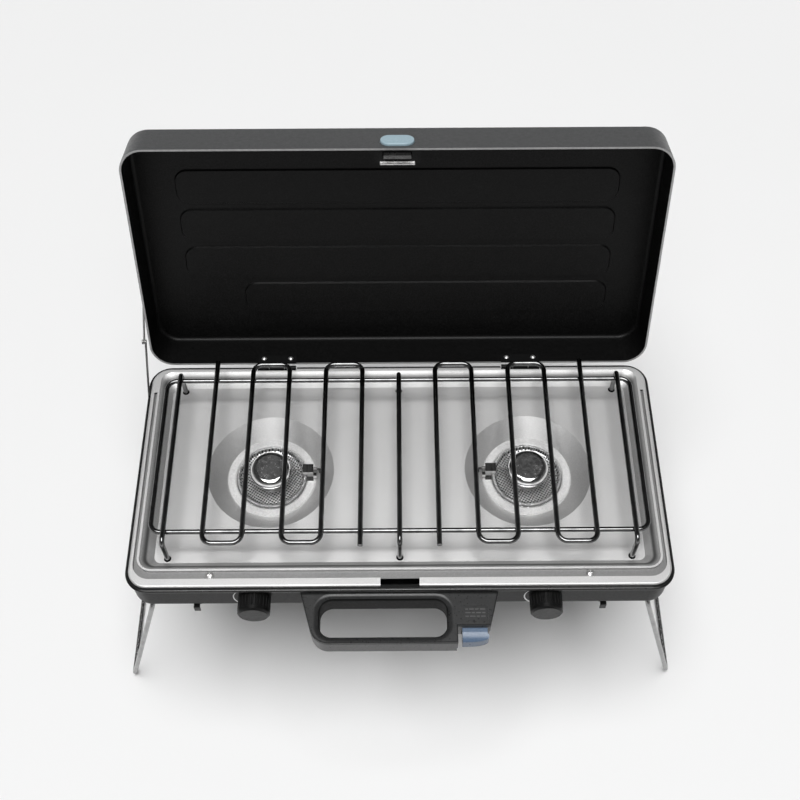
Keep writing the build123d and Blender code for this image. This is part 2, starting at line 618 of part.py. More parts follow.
def grate_frame():
    path = Pos(0, (FRAME_FRONT + FRAME_BACK) / 2, LOW_Z) * RectangleRounded(
        2 * FRAME_X, FRAME_BACK - FRAME_FRONT, 10)
    loop = path.wire()
    plane = Plane(origin=loop @ 0, z_dir=loop % 0)
    return sweep(plane * Circle(WIRE_R), path=loop)


def grate_bar(column):
    """Straight bar whose two ends bend down into the hob plate."""
    x = column * BAR_PITCH
    return wire([(x, FOOT_FRONT, FOOT_TIP), (x, FOOT_FRONT, HIGH_Z), (x, FOOT_BACK, HIGH_Z),
                 (x, FOOT_BACK, FOOT_TIP)], 5)


def grate_serpentine(side):
    """Five bars bent from one wire, from a free end at the back to one at the front."""
    points = [(side * 5 * BAR_PITCH, FREE_BACK, HIGH_Z)]
    for i, column in enumerate((5, 4, 3, 2)):
        y = LOOP_FRONT if i % 2 == 0 else LOOP_BACK
        points.append((side * column * BAR_PITCH, y, HIGH_Z))
        points.append((side * (column - 1) * BAR_PITCH, y, HIGH_Z))
    points.append((side * BAR_PITCH, FREE_FRONT, HIGH_Z))
    return wire(points, 9.5)


# ---- lid (modelled closed, then swung open) --------------------------------------------------------------
LID_R = 24.0
LID_EDGE_R = 5.0
RIB_DEPTH = 2.0
RIB_H = 34.0
RIB_PITCH = 44.6
RIB_FIRST = 57.0         # middle of the rib nearest the hinges, from the lid's back edge
RIB_X = 221.0
RIB_SHORT_X = 162.0      # left end of the short rib
HEM = 2.0


def rib_outline(index, grow, z):
    """Pressed groove in the lid's top; the one by the hinges is shorter on the left."""
    left = -RIB_SHORT_X if index == 0 else -RIB_X
    y = LID_BACK - RIB_FIRST - index * RIB_PITCH
    width = RIB_X - left + 2 * grow
    return Pos((RIB_X + left) / 2, y, z) * RectangleRounded(width, RIB_H + 2 * grow, 11 + grow)


def lid_mass(grow, drop):
    """Outer form of the lid; grow and drop take it in by the sheet's thickness."""
    top = LID_Z1 - drop
    body = slab(LID_W - 2 * grow, LID_D - 2 * grow, LID_R - grow, LID_Z0 - 1, top, 0, LID_CY)
    body = fillet(top_edges(body, top), LID_EDGE_R - grow)
    for index in range(4):
        upper = rib_outline(index, grow + 1.2, top)
        lower = rib_outline(index, grow, top - RIB_DEPTH)
        body -= loft([lower, upper])
    return body


def lid_shell():
    shell = lid_mass(0, 0) - lid_mass(SHEET, SHEET)
    shell &= block(-300, 300, -200, 200, LID_Z0, 400)
    hem = slab(LID_W - 1, LID_D - 1, LID_R - 0.5, LID_Z0, LID_Z0 + HEM, 0, LID_CY)
    hem -= slab(LID_W - 2 * HEM, LID_D - 2 * HEM, LID_R - HEM, LID_Z0 - 1, LID_Z0 + HEM + 1, 0, LID_CY)
    shell += hem
    for side in SIDES.values():
        x0 = side * HINGE_X - HINGE_W / 2
        shell -= block(x0 - 0.5, x0 + HINGE_W + 0.5, LID_BACK - 4, LID_BACK - SHEET,
                       LID_Z0 - 1, LID_Z0 + HEM + 0.5)
        for step in (-1, 1):
            x = side * HINGE_X + step * HINGE_RIVET_STEP
            shell -= rod((x, LID_BACK - 4, HINGE_RIVET_Z), (x, LID_BACK + 2, HINGE_RIVET_Z), 1.6)
    window = facing_back(0, LID_FRONT - 2, BUTTON_Z) * RectangleRounded(
        BUTTON_W + 0.8, BUTTON_H + 0.8, BUTTON_R + 0.4)
    shell -= extrude(window, 4)
    return opened(shell)


# ---- hinges -----------------------------------------------------------------------------------------
PIN_R = 1.3
KNUCKLE_MID = 16.0       # length of the lid's knuckle
HINGE_RIVET_STEP = 14.3
HINGE_RIVET_Z = LID_Z0 + 8.0
LEAF_T = 1.0


def barrel(x0, x1, hole):
    """Hinge knuckle between two places along the pin."""
    outer = rod((x0, HINGE_Y, HINGE_Z), (x1, HINGE_Y, HINGE_Z), KNUCKLE_R)
    return outer, rod((x0 - 1, HINGE_Y, HINGE_Z), (x1 + 1, HINGE_Y, HINGE_Z), hole)


def hinge_base(side):
    """Leaf on the outside of the back wall with the two outer knuckles."""
    x = side * HINGE_X
    half = HINGE_W / 2
    mid = KNUCKLE_MID / 2 + AIR
    wall = CASE_D / 2
    leaf = block(x - half, x + half, wall, wall + LEAF_T, HINGE_Z - 15, HINGE_Z - KNUCKLE_R - 1.0)
    for a, b in ((x - half, x - mid), (x + mid, x + half)):
        outer, hole = barrel(a, b, PIN_R)
        leaf += outer + block(a, b, wall, wall + LEAF_T + 0.6, HINGE_Z - KNUCKLE_R - 2, HINGE_Z)
        leaf -= hole
    return leaf


def hinge_lid(side):
    """Leaf inside the lid's back wall with the middle knuckle."""
    x = side * HINGE_X
    half = HINGE_W / 2
    mid = KNUCKLE_MID / 2
    face = LID_BACK - SHEET
    leaf = block(x - half, x + half, face - LEAF_T, face, LID_Z0 + 0.2, LID_Z0 + 13)
    leaf += block(x - mid, x + mid, face - LEAF_T, face, HINGE_Z - 0.6, LID_Z0 + 1)
    outer, hole = barrel(x - mid, x + mid, PIN_R + RUN)
    leaf += outer + block(x - mid, x + mid, face - LEAF_T, HINGE_Y, HINGE_Z - 0.6, HINGE_Z + 0.6)
    leaf -= hole
    for step in (-1, 1):
        rx = x + step * HINGE_RIVET_STEP
        leaf -= rod((rx, face - 3, HINGE_RIVET_Z), (rx, face + 3, HINGE_RIVET_Z), 1.6)
    return opened(leaf)


def hinge_pins():
    half = HINGE_W / 2
    return [rod((side * HINGE_X - half, HINGE_Y, HINGE_Z), (side * HINGE_X + half, HINGE_Y, HINGE_Z), PIN_R)
            for side in SIDES.values()]


def round_head(x, y, z, direction, radius, height):
    """Domed head growing from a point along +Y or -Y."""
    head = dome(0, 0, 0, radius, height)
    turned = head.rotate(Axis.X, -90 * direction)
    return Pos(x, y, z) * turned


def hinge_rivets():
    rivets = []
    inside = LID_BACK - SHEET - LEAF_T
    for side in SIDES.values():
        for step in (-1, 1):
            x = side * HINGE_X + step * HINGE_RIVET_STEP
            shank = rod((x, inside, HINGE_RIVET_Z), (x, LID_BACK, HINGE_RIVET_Z), 1.6)
            heads = round_head(x, inside, HINGE_RIVET_Z, -1, 2.9, 1.7)
            heads += round_head(x, LID_BACK, HINGE_RIVET_Z, 1, 2.9, 1.2)
            rivets.append(opened(shank + heads))
    return rivets


# ---- latch -----------------------------------------------------------------------------------------
BUTTON_W = 32.5
BUTTON_H = 19.0
BUTTON_R = 9.0
BUTTON_Z = LID_Z0 + 14.5
BUTTON_PROUD = 2.2
HOOK_T = 1.4
COLLAR_BACK = LID_FRONT + SHEET + 1.8
LATCH_TRAVEL = 3.0
HOUSING_BACK = HOOK_Y + 11.2
HOUSING_TOP = LID_Z0 + 34.0


def latch_button():
    """Push button in the lid's front wall, with a collar that keeps it in."""
    def layer(width, height, radius, y0, y1):
        return extrude(facing_back(0, y0, BUTTON_Z) * RectangleRounded(width, height, radius), y1 - y0)
    front = LID_FRONT - BUTTON_PROUD
    face = layer(BUTTON_W, BUTTON_H, BUTTON_R, front, LID_FRONT + SHEET + 0.6)
    outer = face.edges().filter_by_position(Axis.Y, front - 0.01, front + 0.01)
    face = fillet(outer, 1.2)
    collar = layer(BUTTON_W + 2.6, BUTTON_H + 3, BUTTON_R + 1.2,
                   LID_FRONT + SHEET + 0.05, COLLAR_BACK)
    return opened(face + collar)


def latch_hook():
    """Steel hook plate behind the button; its lip catches under the case's front edge."""
    plate = block(-13, 13, HOOK_Y, HOOK_Y + HOOK_T, RIM_Z - 7.4, BUTTON_Z + 6)
    lip = block(-13, 13, HOOK_Y - 1.6, HOOK_Y + HOOK_T, RIM_Z - 8.0, RIM_Z - 6.4)
    spacer = block(-9, 9, COLLAR_BACK, HOOK_Y, BUTTON_Z - 4, BUTTON_Z + 6)
    return opened(plate + lip + spacer)


def latch_housing():
    """Cover inside the lid that guides the hook, open at the bottom for it."""
    x = LATCH_W / 2 + 3.2
    y0 = LID_FRONT + SHEET
    z0 = LID_Z0 + 0.2
    body = block(-x, x, y0, HOUSING_BACK, z0 + 2.1, HOUSING_TOP)
    body -= block(-x + 1, x - 1, y0 - 1, HOUSING_BACK - 1, z0 + 3.1, HOUSING_TOP - 1)
    body -= block(-14, 14, HOOK_Y - AIR, HOOK_Y + HOOK_T + LATCH_TRAVEL + AIR, 0, z0 + 4)
    return opened(body)


def latch_striker():
    """Bright steel lip on the housing's mouth that centres the lid in the hob plate's slot."""
    half = LATCH_W / 2 - 2.2
    y1 = HOUSING_BACK
    z = LID_Z0 + 0.2
    body = block(-half, half, y1 - 1.2, y1, RIM_Z - 1.2, z + 2.1)
    body += block(-half, half, y1 - 2.2, y1, z + 0.9, z + 2.1)
    return opened(body)


def latch_spring():
    """Coil spring between the hook plate and the housing's back."""
    y = HOOK_Y + HOOK_T
    length = HOUSING_BACK - 1 - LATCH_TRAVEL - 0.4 - y
    turns = 5
    z = BUTTON_Z
    height = length - 0.9
    path = Pos(0, y + 0.45, z) * Rot(-90, 0, 0) * Helix(pitch=height / turns, height=height, radius=3.2)
    section = Plane(origin=path @ 0, z_dir=path % 0) * Circle(0.4)
    return opened(sweep(section, path=path, is_frenet=True))


# ---- lid stay: two links on the left side ------------------------------------------------------------
STAY_X = -(CASE_W / 2 + BEAD + 0.3)      # inner face of the links
STAY_T = 1.2
STAY_W = 5.0
STAY_LOW = 80.0
STAY_HIGH = 60.0
STAY_BASE = Vector(STAY_X, 85.0, RIM_Z - 27.0)
STAY_UP = 84.7           # lid pivot: distance up the lid from its back edge
STAY_IN = 28.4           # and depth behind the rim
STAY_LID_CLOSED = Vector(STAY_X, LID_BACK - STAY_UP, LID_Z0 + STAY_IN)


def about_hinge(point, degrees):
    """Turn a point about the lid's hinge line."""
    a = math.radians(degrees)
    dy = point.Y - HINGE_Y
    dz = point.Z - HINGE_Z
    return Vector(point.X, HINGE_Y + dy * math.cos(a) - dz * math.sin(a),
                  HINGE_Z + dy * math.sin(a) + dz * math.cos(a))


def elbow(lid_end):
    """Joint between the two links, bulging to the front and up."""
    reach = lid_end - STAY_BASE
    span = reach.length
    bend = math.acos((STAY_LOW ** 2 + span ** 2 - STAY_HIGH ** 2) / (2 * STAY_LOW * span))
    angle = math.atan2(reach.Z, reach.Y) + bend
    return STAY_BASE + Vector(0, math.cos(angle), math.sin(angle)) * STAY_LOW


STAY_LID = about_hinge(STAY_LID_CLOSED, -LID_OPEN)
STAY_ELBOW = elbow(STAY_LID)


def link(a, b, x0, x1, width):
    """Flat bar with round ends between two pivots, from x0 to x1."""
    along = Vector(0, b.Y - a.Y, b.Z - a.Z)
    middle = (a + b) * 0.5
    plane = Plane(origin=(x0, middle.Y, middle.Z), x_dir=along, z_dir=(-1, 0, 0))
    return extrude(plane * SlotCenterToCenter(along.length, width), abs(x1 - x0))


def stud(point, x0, x1, radius):
    return rod((x0, point.Y, point.Z), (x1, point.Y, point.Z), radius)


PIVOT_R = 1.6


def stay_lower():
    """Link on the case, outside the other one, with the elbow pin."""
    x0 = STAY_X
    x1 = STAY_X - STAY_T
    body = link(STAY_BASE, STAY_ELBOW, x0, x1, STAY_W)
    body -= stud(STAY_BASE, x0 + 1, x1 - 1, PIVOT_R + RUN)
    body += stud(STAY_ELBOW, x0, x1 - 2.9, PIVOT_R)
    body += stud(STAY_ELBOW, x1 - STAY_T - 0.5, x1 - 2.9, PIVOT_R + 1)
    return body


def stay_upper():
    """Link from the elbow to the lid, with the stud that ends just short of the lid's side."""
    x0 = STAY_X - STAY_T - 0.2
    x1 = x0 - STAY_T
    body = link(STAY_ELBOW, STAY_LID, x0, x1, STAY_W - 0.6)
    body -= stud(STAY_ELBOW, x0 + 1, x1 - 1, PIVOT_R + RUN)
    body += stud(STAY_LID, -LID_W / 2 - 0.3, x1 - 1.4, PIVOT_R + 0.9)
    return body


def stay_stud():
    """Rivet that holds the lower link on the case's left wall."""
    wall = -CASE_W / 2
    body = stud(STAY_BASE, wall + SHEET, STAY_X - STAY_T - 0.2, PIVOT_R)
    body += stud(STAY_BASE, wall, STAY_X + 0.15, PIVOT_R + 1.2)
    body += stud(STAY_BASE, STAY_X - STAY_T - 0.2, STAY_X - STAY_T - 1.4, PIVOT_R + 1.2)
    return body


# ---- legs ------------------------------------------------------------------------------------------------
LEG_BEND = 7.0
LEG_PIN_IN = 107.5       # inner end of a pivot pin
CLIP_X = 201.0
CLIP_REACH = 12.0        # from a folded leg's middle to the clip's inner end


def leg(side):
    """Bent wire: a pivot pin, a splayed rod, the ground rod and back up the same way."""
    top_x = side * LEG_X
    foot_x = side * LEG_FOOT_X
    foot_z = WIRE_R
    points = [(top_x, -LEG_PIN_IN, LEG_PIVOT_Z), (top_x, -LEG_Y, LEG_PIVOT_Z), (foot_x, -LEG_Y, foot_z),
              (foot_x, LEG_Y, foot_z), (top_x, LEG_Y, LEG_PIVOT_Z), (top_x, LEG_PIN_IN, LEG_PIVOT_Z)]
    return wire(points, LEG_BEND)


def leg_brackets():
    """Four angle brackets under the case, each with an ear for a leg's pin."""
    brackets = []
    for side in SIDES.values():
        for end in (-1, 1):
            x = side * LEG_X
            ear_in = LEG_EAR_Y - EAR_T / 2
            ear = block(x - 8, x + 8, ear_in, ear_in + EAR_T, LEG_PIVOT_Z - 6, CASE_Z0)
            foot = block(x - 8, x + 8, RIVET_Y - 7, LEG_EAR_Y, CASE_Z0 - 1.6, CASE_Z0)
            body = ear + foot
            body -= rod((x, 100, LEG_PIVOT_Z), (x, 125, LEG_PIVOT_Z), WIRE_R + RUN)
            body -= rod((x, RIVET_Y, CASE_Z0 - 5), (x, RIVET_Y, CASE_Z0 + 1), RIVET_R)
            brackets.append(body if end > 0 else body.mirror(Plane.XZ))
    return brackets


def leg_rivets():
    rivets = []
    for side in SIDES.values():
        for end in (-1, 1):
            x, y = side * LEG_X, end * RIVET_Y
            low = CASE_Z0 - 1.6
            high = CASE_Z0 + SHEET
            body = rod((x, y, low), (x, y, high), RIVET_R)
            body += dome(x, y, high, 3.4, 1.4) + rod((x, y, low - 0.9), (x, y, low), 3.4)
            rivets.append(body)
    return rivets


def leg_clips():
    """Four small clips under the case's front and back edges that cradle the folded legs."""
    clips = []
    wall = 1.4
    half = WIRE_R + 0.5
    for side in SIDES.values():
        for end in (-1, 1):
            x, y = side * CLIP_X, end * LEG_Y
            inner = y - end * CLIP_REACH
            outer = y + end * (half + wall)
            body = block(x - 3, x + 3, min(inner, outer), max(inner, outer), LEG_PIVOT_Z - 4, CASE_Z0)
            body = fillet(body.edges().filter_by(Axis.X), 0.6)
            body -= block(x - 4, x + 4, y - half, y + half, LEG_PIVOT_Z - 6, LEG_PIVOT_Z + half)
            clips.append(body)
    return clips


PIECES = {
    "base_shell": base_shell,
    "hob_plate": hob_plate,
    "hob_screws": hob_screws,
    "gas_manifold": gas_manifold,
    "gas_inlet": gas_inlet,
    "piezo_igniter": piezo_igniter,
    "ignition_leads": ignition_leads,
    "igniter_trigger": igniter_trigger,
    "handle_upper": handle_upper,
    "handle_lower": handle_lower,
    "handle_screws": handle_screws,
    "grate_frame": grate_frame,
    "lid_shell": lid_shell,
    "hinge_pins": hinge_pins,
    "hinge_rivets": hinge_rivets,
    "latch_button": latch_button,
    "latch_hook": latch_hook,
    "latch_housing": latch_housing,
    "latch_striker": latch_striker,
    "latch_spring": latch_spring,
    "stay_lower": stay_lower,
    "stay_upper": stay_upper,
    "stay_stud": stay_stud,
    "leg_brackets": leg_brackets,
    "leg_rivets": leg_rivets,
    "leg_clips": leg_clips,
}
SIDED_PIECES = {
    "burner_collar": burner_collar,
    "burner_cup": burner_cup,
    "burner_tube": burner_tube,
    "burner_cap": burner_cap,
    "burner_support": burner_support,
    "electrode": electrode,
    "electrode_bracket": electrode_bracket,
    "valve": valve,
    "jet": jet,
    "valve_stem": valve_stem,
    "knob": knob,
    "grate_serpentine": grate_serpentine,
    "hinge_base": hinge_base,
    "hinge_lid": hinge_lid,
    "leg": leg,
}
GRATE_BARS = {"left": -6, "centre": 0, "right": 6}

for name, make in PIECES.items():
    made = make()
    save(name, *(made if isinstance(made, list) else [made]))
for name, make in SIDED_PIECES.items():
    for side_name, side in SIDES.items():
        save(f"{name}_{side_name}", make(side))
for name, column in GRATE_BARS.items():
    save(f"grate_bar_{name}", grate_bar(column))

# stay angles, for the joints: rest and closed directions of the two links
closed_elbow = elbow(STAY_LID_CLOSED)
for label, knee, tip in (("open", STAY_ELBOW, STAY_LID), ("closed", closed_elbow, STAY_LID_CLOSED)):
    low_angle = math.degrees(math.atan2(knee.Z - STAY_BASE.Z, knee.Y - STAY_BASE.Y))
    high_angle = math.degrees(math.atan2(tip.Z - knee.Z, tip.Y - knee.Y))
    print("stay", label, round(low_angle, 2), round(high_angle, 2))
print("stay pivots", STAY_BASE, STAY_ELBOW, STAY_LID)
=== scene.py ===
"""Looks of the two-burner camping stove: materials, printed marks, studio and camera.

Metres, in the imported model's own frame: X to the cook's right, Y to the back, Z up from the ground.
"""
import json
import math

import bmesh
import bpy
from mathutils import Matrix, Vector


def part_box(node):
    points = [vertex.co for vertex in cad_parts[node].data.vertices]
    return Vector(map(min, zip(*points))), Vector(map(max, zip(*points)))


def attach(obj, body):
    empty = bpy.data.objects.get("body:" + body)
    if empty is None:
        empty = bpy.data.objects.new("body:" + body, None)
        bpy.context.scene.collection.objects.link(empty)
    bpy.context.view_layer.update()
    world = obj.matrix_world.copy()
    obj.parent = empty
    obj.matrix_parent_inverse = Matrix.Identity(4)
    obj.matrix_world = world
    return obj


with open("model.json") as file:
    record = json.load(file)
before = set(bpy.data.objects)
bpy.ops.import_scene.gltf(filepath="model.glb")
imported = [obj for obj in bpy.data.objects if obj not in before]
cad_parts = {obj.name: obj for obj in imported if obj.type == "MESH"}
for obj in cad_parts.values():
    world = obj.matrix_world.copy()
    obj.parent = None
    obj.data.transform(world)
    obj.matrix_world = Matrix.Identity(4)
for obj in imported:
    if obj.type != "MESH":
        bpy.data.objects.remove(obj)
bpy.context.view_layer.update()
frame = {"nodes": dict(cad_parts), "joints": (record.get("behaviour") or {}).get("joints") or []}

NODES = frame["nodes"]
SIDES = ("left", "right")
MM = 0.001


# ---- places read from the model --------------------------------------------------------------
def both(*names):
    """Names of the left and the right node of each pair."""
    return [f"{name}_{side}" for name in names for side in SIDES]


def middle(node):
    """Centre of a node's box."""
    low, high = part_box(node)
    return (Vector(low) + Vector(high)) / 2


BEAD = 3.0 * MM         # the rolled edge stands this far past the case's walls
LABEL_SUNK = 0.5 * MM   # depth of the label field on the handle
PRINT_LIFT = 0.06 * MM  # print stands this far off its face
PRESSED = 6 * MM        # how far the lid's ribs reach from its top
HEM = 1 * MM            # height of the lid's rim faces
OPENING = Vector((-16.2, -153.6, 0)) * MM  # middle of the handle's opening
OPENING_HALF = Vector((63, 20.5)) * MM     # its half size, with a margin

RIM_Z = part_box("hob_plate")[1][2]
PANEL_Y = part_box("handle_upper")[1][1]
LABEL_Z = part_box("handle_upper")[1][2] - LABEL_SUNK
CASE_CORNER = Vector(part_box("base_shell")[1]) - Vector((BEAD, BEAD, 0))  # where the walls meet
JOINTS = {joint["name"]: joint for joint in frame["joints"]}
LID_HINGE = Vector(JOINTS["lid_hinge"]["pos_m"])
LID_OPEN = math.radians(JOINTS["lid_hinge"]["range_deg"][1])
KNOBS = {side: middle(f"knob_{side}") for side in SIDES}
BURNERS = {side: middle(f"burner_cap_{side}") for side in SIDES}


# ---- node helpers ----------------------------------------------------------------------------
class Shader:
    """A node material round one Principled shader, with short calls for the usual nodes."""

    def __init__(self, name, metallic=0.0, roughness=0.5, **sockets):
        self.material = bpy.data.materials.new(name)
        self.material.use_nodes = True
        self.tree = self.material.node_tree
        self.shader = self.tree.nodes["Principled BSDF"]
        self.shader.inputs["Metallic"].default_value = metallic
        self.shader.inputs["Roughness"].default_value = roughness
        for socket, value in sockets.items():
            self.shader.inputs[socket.replace("_", " ")].default_value = value
        self.place = self.tree.nodes.new("ShaderNodeTexCoord").outputs["Object"]

    def node(self, kind, inputs=None, **settings):
        made = self.tree.nodes.new(kind)
        for key, value in settings.items():
            setattr(made, key, value)
        for key, value in (inputs or {}).items():
            if isinstance(value, bpy.types.NodeSocket):
                self.tree.links.new(value, made.inputs[key])
            else:
                made.inputs[key].default_value = value
        return made

    def stretched(self, x, y, z, origin=(0, 0, 0)):
        """Object coordinates scaled on each axis."""
        moved = self.node("ShaderNodeVectorMath", {0: self.place, 1: origin}, operation="SUBTRACT")
        scaled = self.node("ShaderNodeVectorMath", {0: moved.outputs[0], 1: (x, y, z)},
                           operation="MULTIPLY")
        return scaled.outputs[0]

    def noise(self, scale, detail=3.0, rough=0.55, where=None):
        made = self.node("ShaderNodeTexNoise", {"Vector": where or self.place, "Scale": scale,
                                                "Detail": detail, "Roughness": rough})
        return made.outputs["Fac"]

    def height(self):
        """Height above the ground."""
        return self.node("ShaderNodeSeparateXYZ", {0: self.place}).outputs["Z"]

    def radius(self, centre):
        """Distance from an upright axis through centre."""
        across = self.stretched(1, 1, 0, centre)
        return self.node("ShaderNodeVectorMath", {0: across}, operation="LENGTH").outputs["Value"]

    def times(self, a, b):
        """Two colours multiplied."""
        made = self.node("ShaderNodeMix", {"Factor": 1.0}, data_type="RGBA", blend_type="MULTIPLY")
        self.tree.links.new(a, made.inputs[6])
        self.tree.links.new(b, made.inputs[7])
        return made.outputs[2]

    def math(self, operation, a, b=0.0):
        return self.node("ShaderNodeMath", {0: a, 1: b}, operation=operation).outputs[0]

    def ramp(self, value, low, high, start, end):
        """Colour that runs from start to end as value runs from low to high."""
        made = self.node("ShaderNodeValToRGB", {"Fac": value})
        points = made.color_ramp.elements
        points[0].position = low
        points[0].color = (*start, 1)
        points[1].position = high
        points[1].color = (*end, 1)
        return made.outputs["Color"]

    def spread(self, value, low, high, start, end):
        """Number that runs from start to end as value runs from low to high."""
        made = self.node("ShaderNodeMapRange", {"Value": value, "From Min": low, "From Max": high,
                                                "To Min": start, "To Max": end})
        return made.outputs["Result"]

    def mix(self, factor, a, b):
        made = self.node("ShaderNodeMix", data_type="RGBA")
        self.tree.links.new(factor, made.inputs["Factor"])
        for index, value in ((6, a), (7, b)):
            if isinstance(value, bpy.types.NodeSocket):
                self.tree.links.new(value, made.inputs[index])
            else:
                made.inputs[index].default_value = (*value, 1)
        return made.outputs[2]

    def color(self, value):
        if isinstance(value, bpy.types.NodeSocket):
            self.tree.links.new(value, self.shader.inputs["Base Color"])
        else:
            self.shader.inputs["Base Color"].default_value = (*value, 1)

    def rough(self, value):
        self.tree.links.new(value, self.shader.inputs["Roughness"])

    def bump(self, height, depth, strength=1.0):
        made = self.node("ShaderNodeBump", {"Height": height, "Distance": depth, "Strength": strength})
        self.tree.links.new(made.outputs[0], self.shader.inputs["Normal"])


def grey(value, warm=0.0):
    """Neutral colour, a little warmer or cooler."""
    return (value * (1 + warm), value, value * (1 - warm))


# ---- painted metal ---------------------------------------------------------------------------
def silver_paint():
    """Silver paint: tiny flakes, a soft orange peel, a cloudy tone, and painted shade in the rim's groove.
    """
    s = Shader("silver_paint", metallic=0.72, roughness=0.42)
    flakes = s.noise(1500, 2.0)
    clouds = s.noise(14, 3.0)
    tone = s.ramp(flakes, 0.34, 0.66, grey(0.54, 0.004), grey(0.71, 0.004))
    shade = s.ramp(clouds, 0.3, 0.7, grey(0.93), grey(1.0))
    # painted shade: the colour is darkened in a height band round the rim's groove floor, where shade falls
    # in the groove
    above = s.spread(s.height(), RIM_Z - 3.4 * MM, RIM_Z - 1.2 * MM, 0.0, 1.0)
    below = s.spread(s.height(), RIM_Z - 5.5 * MM, RIM_Z - 4.2 * MM, 1.0, 0.0)
    clear = s.math("MAXIMUM", above, below)
    s.color(s.times(s.times(tone, shade), s.ramp(clear, 0.0, 1.0, grey(0.26), grey(1.0))))
    s.rough(s.spread(s.noise(420), 0.3, 0.7, 0.36, 0.48))
    s.bump(s.noise(850, 2.0), 0.0001, 0.4)
    return s.material


def dark_enamel():
    """Case paint: dark grey, satin, fine texture."""
    s = Shader("dark_enamel", roughness=0.36, Specular_IOR_Level=0.12)
    s.color(s.ramp(s.noise(1300, 2.0), 0.35, 0.65, grey(0.004, -0.01), grey(0.009, -0.01)))
    s.rough(s.spread(s.noise(300), 0.3, 0.7, 0.32, 0.44))
    s.bump(s.noise(1100, 2.0), 0.0001, 0.6)
    return s.material


def lid_outside():
    """Lid paint, outside: satin black-grey with a grain."""
    s = Shader("lid_outside", roughness=0.38, Specular_IOR_Level=0.5)
    s.color(s.ramp(s.noise(1200, 2.0), 0.35, 0.65, grey(0.042, -0.02), grey(0.066, -0.02)))
    s.rough(s.spread(s.noise(260), 0.3, 0.7, 0.33, 0.46))
    s.bump(s.noise(1000, 2.0), 0.00012, 0.6)
    return s.material


def lid_inside():
    """Lid paint, inside: powder coat, nearly black, with a coarse speckle."""
    s = Shader("lid_inside", roughness=0.5, Specular_IOR_Level=0.17)
    speckle = s.noise(620, 3.0, 0.6)
    s.color(s.ramp(speckle, 0.40, 0.68, grey(0.002), grey(0.007)))
    s.rough(s.spread(speckle, 0.35, 0.65, 0.32, 0.46))
    s.bump(speckle, 0.00025, 0.7)
    return s.material


# ---- bare and plated metal -------------------------------------------------------------------
def dark_chrome():
    """Dark plated wire whose tone and polish change a little along it."""
    s = Shader("plated_wire", metallic=1.0, roughness=0.14)
    s.color(s.ramp(s.noise(90, 4.0), 0.3, 0.75, grey(0.10, -0.01), grey(0.21, 0.0)))
    s.rough(s.spread(s.noise(500), 0.3, 0.7, 0.08, 0.2))
    s.bump(s.noise(700, 2.0), 0.00004, 0.4)
    return s.material


def leg_chrome():
    """Plated leg wire, paler and a little duller."""
    s = Shader("leg_wire", metallic=1.0, roughness=0.22)
    s.color(s.ramp(s.noise(70, 4.0), 0.3, 0.75, grey(0.24), grey(0.38)))
    s.rough(s.spread(s.noise(420), 0.3, 0.7, 0.16, 0.32))
    s.bump(s.noise(700, 2.0), 0.00004, 0.4)
    return s.material


def zinc(name, low, high):
    """Plated steel between two grey tones: cloudy, with fine rolling lines."""
    s = Shader(name, metallic=0.9, roughness=0.33)
    lines = s.noise(900, 2.0, where=s.stretched(1, 0.05, 1))
    s.color(s.ramp(s.noise(120, 4.0), 0.3, 0.7, grey(low), grey(high, 0.01)))
    s.rough(s.spread(lines, 0.3, 0.7, 0.24, 0.44))
    s.bump(lines, 0.00003, 0.5)
    return s.material


def collar_steel():
    """Pale satin steel, finely grained."""
    s = Shader("collar_steel", metallic=0.35, roughness=0.4)
    s.color(s.ramp(s.noise(600, 3.0), 0.3, 0.7, grey(0.62, 0.005), grey(0.78, 0.005)))
    s.rough(s.spread(s.noise(240), 0.3, 0.7, 0.32, 0.48))
    s.bump(s.noise(1200, 2.0), 0.00004, 0.5)
    return s.material


def perforated(side):
    """Sheet bowl with a square grid of small holes between its middle and its lip; the holes are painted
    near black, painted shade for the dark inside seen through them.
    """
    centre = BURNERS[side]
    pitch = 2.6 * MM
    hole = 0.33        # radius of a hole, in pitches
    first = 16.5 * MM  # the holes lie between these radii
    last = 32.6 * MM
    s = Shader(f"perforated_{side}", metallic=0.85, roughness=0.3)
    turned = s.node("ShaderNodeVectorRotate", rotation_type="Z_AXIS",
                    inputs={"Vector": s.place, "Center": centre, "Angle": math.radians(32)})
    scaled = s.node("ShaderNodeVectorMath", {0: turned.outputs[0], 3: 1 / pitch}, operation="SCALE")
    part = s.node("ShaderNodeVectorMath", {0: scaled.outputs[0]}, operation="FRACTION")
    flat = s.node("ShaderNodeVectorMath", {0: part.outputs[0], 1: (1, 1, 0)}, operation="MULTIPLY")
    away = s.node("ShaderNodeVectorMath", {0: flat.outputs[0], 1: (0.5, 0.5, 0)}, operation="DISTANCE")
    distance = away.outputs["Value"]
    level = s.radius(centre)
    lip = s.spread(level, last, last + 0.6 * MM, 0.0, 1.0)
    solid = s.math("MAXIMUM", lip, s.spread(level, first, first + 0.5 * MM, 1.0, 0.0))
    metal = s.math("MAXIMUM", solid, s.spread(distance, hole - 0.05, hole + 0.05, 0.0, 1.0))
    sheet = s.ramp(s.noise(300, 3.0), 0.3, 0.7, grey(0.5), grey(0.72))
    # painted shade: the holes get a near-black, matt colour for the dark seen through them
    s.color(s.mix(metal, (0.004, 0.004, 0.004), sheet))
    s.rough(s.spread(metal, 0.0, 1.0, 0.95, 0.28))
    s.tree.links.new(s.spread(metal, 0.0, 1.0, 0.0, 0.85), s.shader.inputs["Metallic"])
    s.bump(s.spread(distance, hole - 0.1, hole + 0.12, 0.0, 1.0), 0.0004, 0.8)
    return s.material


def burner_head():
    """Cast head and mixing tube, dull."""
    s = Shader("burner_head", metallic=0.8, roughness=0.5)
    s.color(s.ramp(s.noise(200, 4.0), 0.3, 0.7, grey(0.3), grey(0.45, 0.02)))
    s.bump(s.noise(600, 3.0), 0.0001, 0.6)
    return s.material


